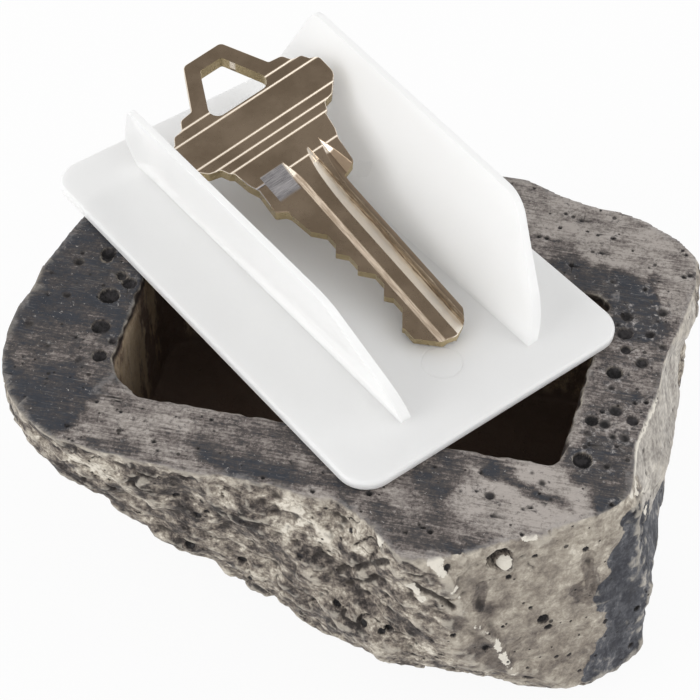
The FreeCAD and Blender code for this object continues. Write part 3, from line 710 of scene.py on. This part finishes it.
def store_masks(stone):
    """Keeps on the mesh what the stone's material needs to know of each point."""
    mesh = stone.data
    points, normals, edges = read_points(mesh), read_normals(mesh), read_edges(mesh)
    masks = region_masks(points, normals)
    fine = np.einsum("ij,ij->i", relaxed(points, edges, 3) - points, normals)
    broad = np.einsum("ij,ij->i", relaxed(points, edges, 25) - points, normals)
    ledges = 1 - ramp(line_distance(points, LEDGES), 0.2, 0.8)
    # Hollows and ledges, where the stone's material lays a dark wash together with painted shade
    store(mesh, "crevice_wash_and_shade", ramp(fine, 0.01, 0.14) * 0.6 + ramp(broad, 0.05, 0.5) * 0.5 + ledges)
    store(mesh, "worn", ramp(-fine, 0.01, 0.12) * 0.6 + ramp(-broad, 0.05, 0.45) * 0.6)
    edges_chipped = 0.95 * (1 - ramp(line_distance(points, CHIPPED), 0.2, 1.1))
    bare = np.maximum(edges_chipped, near_spots(points, WHITE_CHIPS + [PEBBLE], 0.7, 1.3))
    store(mesh, "chipped", bare)
    store(mesh, "base", masks["level"])
    store(mesh, "pocket", masks["pocket"] * ramp(STONE_TOP - points[:, 2], 0.15, 0.5))
    store(mesh, "facet", masks["facet"])
    store(mesh, "paint", paint_cover(points))
    store(mesh, "powder", powder_share(points))
    store(mesh, "wash", wash_tone(points, masks))
    store(mesh, "stain", 1 - ramp(line_distance(points, STAINS), 0.2, 1.2))
    store(mesh, "dark", dark_share(points))
    store(mesh, "flank", masks["flank"])


# Stone: material

def stain_share(tree):
    """1 in the brown stains that gather in blots over the broken faces."""
    return ragged(tree, "stain", [(grain(tree, 2.2, 6.0, rough=0.7, twist=0.6), 1.0)], 0.18, 0.4)


def side_colour(tree):
    """Broken faces: cream and taupe washes, a dark wash with painted shade in the creases and clefts, and
    pale on the edges.
    """
    facet = stored(tree, "facet")
    broad = centred(tree, grain(tree, 5.0, 5.0, rough=0.6, twist=0.5), 2.2)
    middle = centred(tree, grain(tree, 1.4, 6.0, rough=0.7, twist=0.3), 2.1)
    speck = centred(tree, grain(tree, 0.4, 4.0, rough=0.7), 1.1)
    mottle = maths(tree, "ADD", maths(tree, "ADD", broad, middle), speck)
    mottle = product(tree, mottle, rescaled(tree, facet, 1.0, 0.42))
    tone = maths(tree, "ADD", stored(tree, "wash"), mottle)
    tone = maths(tree, "SUBTRACT", tone, weighed(tree, stain_share(tree), 0.22))
    colour = stops(tree, tone, [(0.0, (44, 39, 37)), (0.22, (76, 69, 65)), (0.4, (112, 103, 95)),
                                (0.55, (140, 131, 120)), (0.7, (168, 159, 146)), (0.85, (202, 194, 180)),
                                (1.0, (226, 219, 206))])
    cloud = plus(tree, grain(tree, 3.0, 5.0, stretch=(1, 1, 2.0), rough=0.65), (grain(tree, 0.6, 4.0), 1.0))
    pale = stops(tree, cloud, [(0.2, (122, 117, 112)), (0.42, (158, 152, 145)), (0.56, (180, 174, 166)),
                               (0.8, (214, 208, 198))])
    flank = ragged(tree, "flank", [(grain(tree, 3.0, 5.0), 0.6)], 0.45, 0.75)
    colour = mix(tree, flank, colour, pale)
    blot = plus(tree, grain(tree, 2.4, 6.0, stretch=(1, 1, 2.6), rough=0.68),
                (grain(tree, 0.6, 4.0, rough=0.6), 0.4))
    blue = stops(tree, blot, [(0.25, (36, 36, 41)), (0.45, (58, 59, 65)), (0.57, (86, 87, 92)),
                              (0.72, (160, 156, 152)), (0.85, (198, 192, 184))])
    dark = ragged(tree, "dark", [(grain(tree, 1.5, 5.0, rough=0.7), 0.9)], 0.4, 0.6)
    colour = mix(tree, dark, colour, blue)
    # Creases: a dark wash together with painted shade
    creased_wash_and_shade = ragged(tree, "crevice_wash_and_shade", [(grain(tree, 0.8, 5.0, rough=0.7), 0.7)], 0.2, 0.9)
    colour = mix(tree, weighed(tree, creased_wash_and_shade, 0.9), colour, linear(46, 40, 36))
    # Clefts: painted shade at their bottom
    cleft_shade = ragged(tree, "cleft_shade", [(grain(tree, 0.8, 5.0, rough=0.75), 2.0)], 0.3, 0.75)
    cleft_shade = product(tree, cleft_shade, rescaled(tree, facet, 0.9, 0.15))
    colour = mix(tree, cleft_shade, colour, linear(42, 36, 33))
    edge = ragged(tree, "worn", [(grain(tree, 0.7, 5.0, rough=0.8), 1.2)], 0.3, 1.1)
    colour = mix(tree, weighed(tree, edge, 0.55), colour, linear(208, 200, 186))
    chips = ragged(tree, "chipped", [(grain(tree, 1.2, 5.0, rough=0.65), 2.0)], 0.6, 0.72)
    return mix(tree, chips, colour, linear(226, 220, 208))


def base_colour(tree):
    """Ground base: charcoal paint over taupe, sanded thin in short streaks along the stone."""
    streak = grain(tree, 0.55, 4.0, stretch=(7.0, 0.5, 1.0), rough=0.6)
    long_streak = grain(tree, 1.4, 3.0, stretch=(9.0, 0.6, 1.0))
    blotch = grain(tree, 2.6, 6.0, stretch=(1.5, 1.0, 1.0), rough=0.7)
    speck = grain(tree, 0.4, 3.0, rough=0.7)
    cover = plus(tree, stored(tree, "paint"), (blotch, 1.5), (streak, 0.85), (long_streak, 0.5),
                 (speck, 1.0))
    colour = stops(tree, cover, [(0.0, (176, 168, 162)), (0.18, (152, 145, 139)), (0.38, (122, 114, 110)),
                                 (0.52, (92, 85, 82)), (0.66, (74, 70, 69)), (0.82, (62, 61, 64)),
                                 (1.0, (54, 57, 64))])
    scratch = band(tree, grain(tree, 0.45, 3.0, stretch=(6.0, 0.35, 1.0)), 0.6, 0.72)
    colour = mix(tree, weighed(tree, scratch, 0.2), colour, linear(196, 190, 184))
    powder = ragged(tree, "powder", [(grain(tree, 1.0, 6.0, rough=0.75), 2.8)], 0.3, 0.95)
    colour = mix(tree, weighed(tree, powder, 0.72), colour, linear(196, 190, 186))
    soot = ragged(tree, "powder", [(grain(tree, 1.3, 5.0, rough=0.75, twist=0.4), 3.4)], 0.42, 0.75)
    colour = mix(tree, weighed(tree, soot, 0.7), colour, linear(56, 54, 57))
    fleck = band(tree, grain(tree, 0.5, 5.0, rough=0.75), 0.62, 0.7)
    colour = mix(tree, weighed(tree, fleck, 0.75), colour, linear(204, 199, 194))
    patch = band(tree, plus(tree, grain(tree, 1.7, 5.0, rough=0.75), (speck, 0.5)), 0.58, 0.68)
    colour = mix(tree, weighed(tree, patch, 0.45), colour, linear(58, 55, 56))
    lip = ragged(tree, "worn", [(grain(tree, 0.6, 4.0), 1.0)], 0.7, 1.1)
    colour = mix(tree, weighed(tree, lip, 0.35), colour, linear(170, 165, 162))
    # Creases: a dark wash together with painted shade
    creased_wash_and_shade = ragged(tree, "crevice_wash_and_shade", [(speck, 0.4)], 0.2, 0.75)
    return mix(tree, creased_wash_and_shade, colour, linear(40, 37, 37))


def bubble_shade_colour(tree):
    """Painted shade on the walls of the bubbles in the ground base: smooth and near black, with grey dust.
    """
    return mix(tree, band(tree, grain(tree, 0.9, 4.0), 0.4, 0.7), linear(26, 24, 25), linear(64, 61, 62))


def pocket_colour(tree):
    """Key cavity: bare dark casting with tan runs down its walls, which end under the dark lip."""
    long_grain = grain(tree, 5.0, 3.0, stretch=(1.0, 1.0, 9.0), rough=0.5)
    short_grain = grain(tree, 1.1, 5.0, stretch=(1.0, 1.0, 2.5), rough=0.7)
    runs = weighed(tree, band(tree, plus(tree, long_grain, (short_grain, 0.5)), 0.42, 0.54), 0.85)
    spots = band(tree, grain(tree, 2.2, 6.0, stretch=(1.0, 1.0, 2.0), rough=0.7), 0.35, 0.65)
    tan = mix(tree, spots, linear(176, 155, 128), linear(206, 187, 160))
    height = make(tree, "ShaderNodeSeparateXYZ", {0: place_of(tree)}).outputs[2]
    under_lip = band(tree, height, STONE_TOP - 0.9, STONE_TOP - 1.8)
    upright = band(tree, height, POCKET_FLOOR + 0.5, POCKET_FLOOR + 3.0)
    bare = mix(tree, under_lip, linear(50, 43, 41), linear(114, 97, 86))
    return mix(tree, product(tree, runs, upright, under_lip), bare, tan)


def pin_holes(tree, size, hole, share):
    """1 in the scattered pin holes of the casting, and 0 elsewhere."""
    inputs = {"Vector": place_of(tree), "Scale": 1 / size, "Randomness": 1.0}
    cells = make(tree, "ShaderNodeTexVoronoi", inputs, feature="F1")
    chosen = make(tree, "ShaderNodeSeparateColor", {0: cells.outputs["Color"]})
    inner, outer = 0.6 * hole / size, hole / size
    open_here = opposite(tree, band(tree, cells.outputs["Distance"], inner, outer))
    return product(tree, open_here, band(tree, chosen.outputs[0], 1 - share, 1.02 - share))


def stone_material():
    """Painted casting, matt, with its grit, pin holes and sanding marks."""
    material, tree, shader = new_material("cast_stone_painted")
    base = stored(tree, "base")
    colour = mix(tree, base, side_colour(tree), base_colour(tree))
    # Bubble walls: painted shade
    colour = mix(tree, stored(tree, "hole"), colour, bubble_shade_colour(tree))
    holes = maths(tree, "MAXIMUM", pin_holes(tree, 1.5, 0.2, 0.4), pin_holes(tree, 2.7, 0.36, 0.3))
    # Pin holes painted near black as their shade, and pressed in by the bump below
    colour = mix(tree, weighed(tree, holes, 0.85), colour, linear(32, 28, 26))
    colour = mix(tree, stored(tree, "pocket"), colour, pocket_colour(tree))
    tree.links.new(colour, shader.inputs["Base Color"])
    rough = band(tree, grain(tree, 1.5, 4.0), 0.25, 0.75)
    tree.links.new(rescaled(tree, rough, 0.45, 0.8), shader.inputs["Roughness"])
    shader.inputs["Specular IOR Level"].default_value = 0.3
    grit = plus(tree, weighed(tree, holes, -2.0), (grain(tree, 0.35, 3.0), 1.0),
                (grain(tree, 1.1, 5.0), 1.6))
    streaks = weighed(tree, grain(tree, 0.4, 2.0, stretch=(12.0, 0.5, 1.0)), 0.8)
    height = mix(tree, base, grit, maths(tree, "ADD", weighed(tree, grit, 0.45), streaks))
    bumped(tree, shader, height, 0.16, 0.9)
    return material


def build_stone():
    """The stone as it shows, in place of its CAD node."""
    stone = shape_stone(remeshed_stone())
    store_masks(stone)
    mesh = stone.data
    mesh.polygons.foreach_set("use_smooth", [True] * len(mesh.polygons))
    mesh.materials.append(stone_material())
    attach(stone, "stone")
    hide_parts("stone_shell")


# Lid and key

def soften(obj, width, angle):
    """Rounds the sharp edges of a CAD node as it is shown."""
    weld = obj.modifiers.new("weld", "WELD")
    weld.merge_threshold = 0.002 * MM
    plain = obj.modifiers.new("plain", "DECIMATE")
    plain.decimate_type = "DISSOLVE"
    plain.angle_limit = math.radians(0.4)
    edge = obj.modifiers.new("edge", "BEVEL")
    edge.width = width * MM
    edge.segments = 2
    edge.limit_method = "ANGLE"
    edge.angle_limit = math.radians(angle)
    edge.harden_normals = True


def plastic_material():
    """Milky plastic that lets light through where it is thin."""
    material, tree, shader = new_material("milky_plastic")
    cloud = grain(tree, 14.0, 2.0)
    colour = mix(tree, band(tree, cloud, 0.2, 0.8), linear(243, 243, 242), linear(246, 246, 245))
    tree.links.new(colour, shader.inputs["Base Color"])
    shine = rescaled(tree, grain(tree, 9.0, 2.0), 0.26, 0.32)
    tree.links.new(shine, shader.inputs["Roughness"])
    shader.inputs["Subsurface Weight"].default_value = 0.7
    shader.inputs["Subsurface Radius"].default_value = (1.0, 1.0, 1.0)
    shader.inputs["Subsurface Scale"].default_value = 3.0 * MM
    shader.inputs["Specular IOR Level"].default_value = 0.3
    bumped(tree, shader, grain(tree, 12.0, 1.0), 0.05, 0.1)
    return material


def key_reading(tree):
    """Place of a point on the key, along, across and over it in millimetres, and how it faces."""
    place = place_of(tree)
    away = make(tree, "ShaderNodeVectorMath", {0: place, 1: KEY_PLACE}, operation="SUBTRACT").outputs[0]
    reading = []
    for axis in (KEY_ALONG, KEY_ACROSS, KEY_NORMAL):
        node = make(tree, "ShaderNodeVectorMath", {0: away, 1: axis}, operation="DOT_PRODUCT")
        reading.append(node.outputs["Value"])
    own = make(tree, "ShaderNodeTexCoord").outputs["Normal"]
    facing = make(tree, "ShaderNodeVectorMath", {0: own, 1: KEY_NORMAL}, operation="DOT_PRODUCT")
    return reading + [maths(tree, "ABSOLUTE", facing.outputs["Value"])]


def between(tree, value, low, high, blur=0.06):
    """1 between two values and 0 outside them."""
    over_low = band(tree, value, low - blur, low + blur)
    return product(tree, over_low, band(tree, value, high + blur, high - blur))


def brushed(tree, reading, size, stretch):
    """Fine lines on the key: noise stretched along its own directions."""
    parts = {axis: weighed(tree, value, 1 / long) for axis, value, long in zip("XYZ", reading, stretch)}
    place = make(tree, "ShaderNodeCombineXYZ", parts).outputs[0]
    inputs = {"Vector": place, "Scale": 1 / size, "Detail": 4.0, "Roughness": 0.65}
    return make(tree, "ShaderNodeTexNoise", inputs).outputs["Fac"]


def profile(tree, across, lines):
    """Colours over the milled slots: tan in the narrow one, cream in the wide one, brown past its ridge,
    with thin lines of painted shade and painted highlight round the ridge.
    """
    shaken = plus(tree, rescaled(tree, across, 0.0, 1.0, *KEY_WIDE_SLOT), (lines, 0.3))
    # The dark stops at 0.62 and 0.66 are painted shade, and the pale stop at 0.7 a painted highlight
    cream = stops(tree, shaken, [(0.0, (246, 238, 224)), (0.42, (255, 250, 240)), (0.56, (236, 224, 204)),
                                 (0.62, (150, 130, 106)), (0.66, (84, 70, 56)), (0.7, (206, 190, 168)),
                                 (0.76, (104, 88, 70)), (1.0, (134, 116, 96))])
    tan = mix(tree, band(tree, lines, 0.35, 0.65), linear(176, 157, 136), linear(222, 206, 187))
    return mix(tree, band(tree, across, *KEY_SLOTS), tan, cream)


def key_material():
    """Nickel-plated brass: dull rolled faces, golden edges, and bright metal where it was cut."""
    material, tree, shader = new_material("nickel_brass")
    along, across, height, facing = key_reading(tree)
    rolled = grain(tree, 0.7, 5.0, rough=0.65)
    stain = grain(tree, 6.0, 4.0)
    lines = brushed(tree, (along, across, height), 0.28, (9.0, 0.7, 1.0))
    turned = brushed(tree, (along, across, height), 0.16, (0.6, 12.0, 1.0))
    face = mix(tree, band(tree, stain, 0.35, 0.65), linear(134, 117, 98), linear(154, 136, 116))
    slot = profile(tree, across, lines)
    pad = mix(tree, band(tree, turned, 0.35, 0.65), linear(146, 142, 144), linear(194, 190, 190))
    wall = mix(tree, band(tree, stain, 0.3, 0.7), linear(168, 150, 112), linear(196, 178, 140))
    sunk = product(tree, band(tree, height, *KEY_SUNK), band(tree, height, *KEY_UNDERSIDE))
    step = product(tree, band(tree, across, *KEY_STEP), band(tree, along, *KEY_BLADE))
    on_pad = product(tree, between(tree, along, *KEY_PAD, 0.3), band(tree, across, *KEY_PAD_EDGE))
    bow = band(tree, along, *KEY_BOW)
    colour = mix(tree, sunk, face, mix(tree, bow, slot, linear(246, 234, 218)))
    colour = mix(tree, product(tree, sunk, step), colour, face)
    colour = mix(tree, product(tree, sunk, on_pad), colour, pad)
    upright = opposite(tree, band(tree, facing, 0.05, 0.2))
    edge = product(tree, upright, opposite(tree, between(tree, across, *KEY_WALL)))
    colour = mix(tree, edge, colour, wall)
    tree.links.new(colour, shader.inputs["Base Color"])
    milled = product(tree, sunk, opposite(tree, maths(tree, "MAXIMUM", step, bow)))
    tree.links.new(rescaled(tree, milled, 1.0, 0.65), shader.inputs["Metallic"])
    shine = plus(tree, maths(tree, "ADD", weighed(tree, milled, 0.2), 0.3), (rolled, 0.3))
    tree.links.new(shine, shader.inputs["Roughness"])
    bumped(tree, shader, plus(tree, rolled, (lines, 1.0)), 0.012, 0.25)
    return material


def dress(node, material):
    """Gives a CAD node one material all over."""
    node.data.materials.clear()
    node.data.materials.append(material)
    for slot in node.material_slots:
        slot.material = material


# Set

def build_camera():
    """The camera, at the angle that the values at the top give."""
    forward, right = Vector(CAMERA_FORWARD).normalized(), Vector(CAMERA_RIGHT).normalized()
    up = right.cross(forward).normalized()
    right = forward.cross(up)
    camera = link(bpy.data.objects.new("camera", bpy.data.cameras.new("camera")))
    turn = Matrix((right, up, -forward)).transposed().to_4x4()
    camera.matrix_world = Matrix.Translation(Vector(CAMERA_PLACE) * MM) @ turn
    camera.data.lens = CAMERA_LENS
    camera.data.sensor_width = SENSOR
    camera.data.clip_start = 0.01
    bpy.context.scene.camera = camera


def build_floor():
    """A white sweep that looks white whatever falls on it, with a trace of the stone's shade."""
    mesh = bpy.data.meshes.new("floor")
    half = 3.0
    corners = [(-half, -half, 0), (half, -half, 0), (half, half, 0), (-half, half, 0)]
    mesh.from_pydata(corners, [], [(0, 1, 2, 3)])
    floor = link(bpy.data.objects.new("floor", mesh))
    material, tree, shader = new_material("white_sweep")
    shader.inputs["Base Color"].default_value = (0.9, 0.9, 0.9, 1)
    shader.inputs["Roughness"].default_value = 0.9
    path = make(tree, "ShaderNodeLightPath")
    seen = maths(tree, "MAXIMUM", path.outputs["Is Camera Ray"], path.outputs["Is Glossy Ray"])
    glow = make(tree, "ShaderNodeEmission", {"Color": (1, 1, 1, 1), "Strength": 1.0})
    blend = make(tree, "ShaderNodeMixShader", {0: maths(tree, "MULTIPLY", seen, FLOOR_GLOW)})
    tree.links.new(shader.outputs[0], blend.inputs[1])
    tree.links.new(glow.outputs[0], blend.inputs[2])
    tree.links.new(blend.outputs[0], tree.nodes["Material Output"].inputs["Surface"])
    mesh.materials.append(material)


def area_light(name, place, target, size, watts):
    """A soft box that faces its target, its place and size in metres."""
    lamp = bpy.data.lights.new(name, "AREA")
    lamp.shape = "RECTANGLE"
    lamp.size, lamp.size_y = size
    lamp.energy = watts
    light = link(bpy.data.objects.new(name, lamp))
    light.location = place
    light.rotation_euler = (Vector(target) - Vector(place)).to_track_quat("-Z", "Y").to_euler()


def build_lights():
    """A light tent: bright low down, dimmer overhead, with a soft box on either side."""
    centre = (0.0, 0.0, 0.03)
    area_light("left_box", (-0.5, -0.42, 0.42), centre, (0.5, 0.5), LEFT_BOX)
    area_light("right_box", (0.62, 0.05, 0.42), centre, (0.5, 0.5), RIGHT_BOX)
    world = bpy.data.worlds.new("tent")
    bpy.context.scene.world = world
    world.use_nodes = True
    tree = world.node_tree
    aim = make(tree, "ShaderNodeSeparateXYZ", {0: make(tree, "ShaderNodeTexCoord").outputs["Generated"]})
    tree.nodes["Background"].inputs["Color"].default_value = (1, 1, 1, 1)
    strength = rescaled(tree, aim.outputs[2], TENT_LOW, TENT_TOP)
    tree.links.new(strength, tree.nodes["Background"].inputs["Strength"])


build_stone()
dress(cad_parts["lid"], plastic_material())
soften(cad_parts["lid"], 0.14, 35)
dress(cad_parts["spare_key"], key_material())
build_floor()
build_lights()
build_camera()
bpy.context.scene.view_settings.view_transform = "Standard"
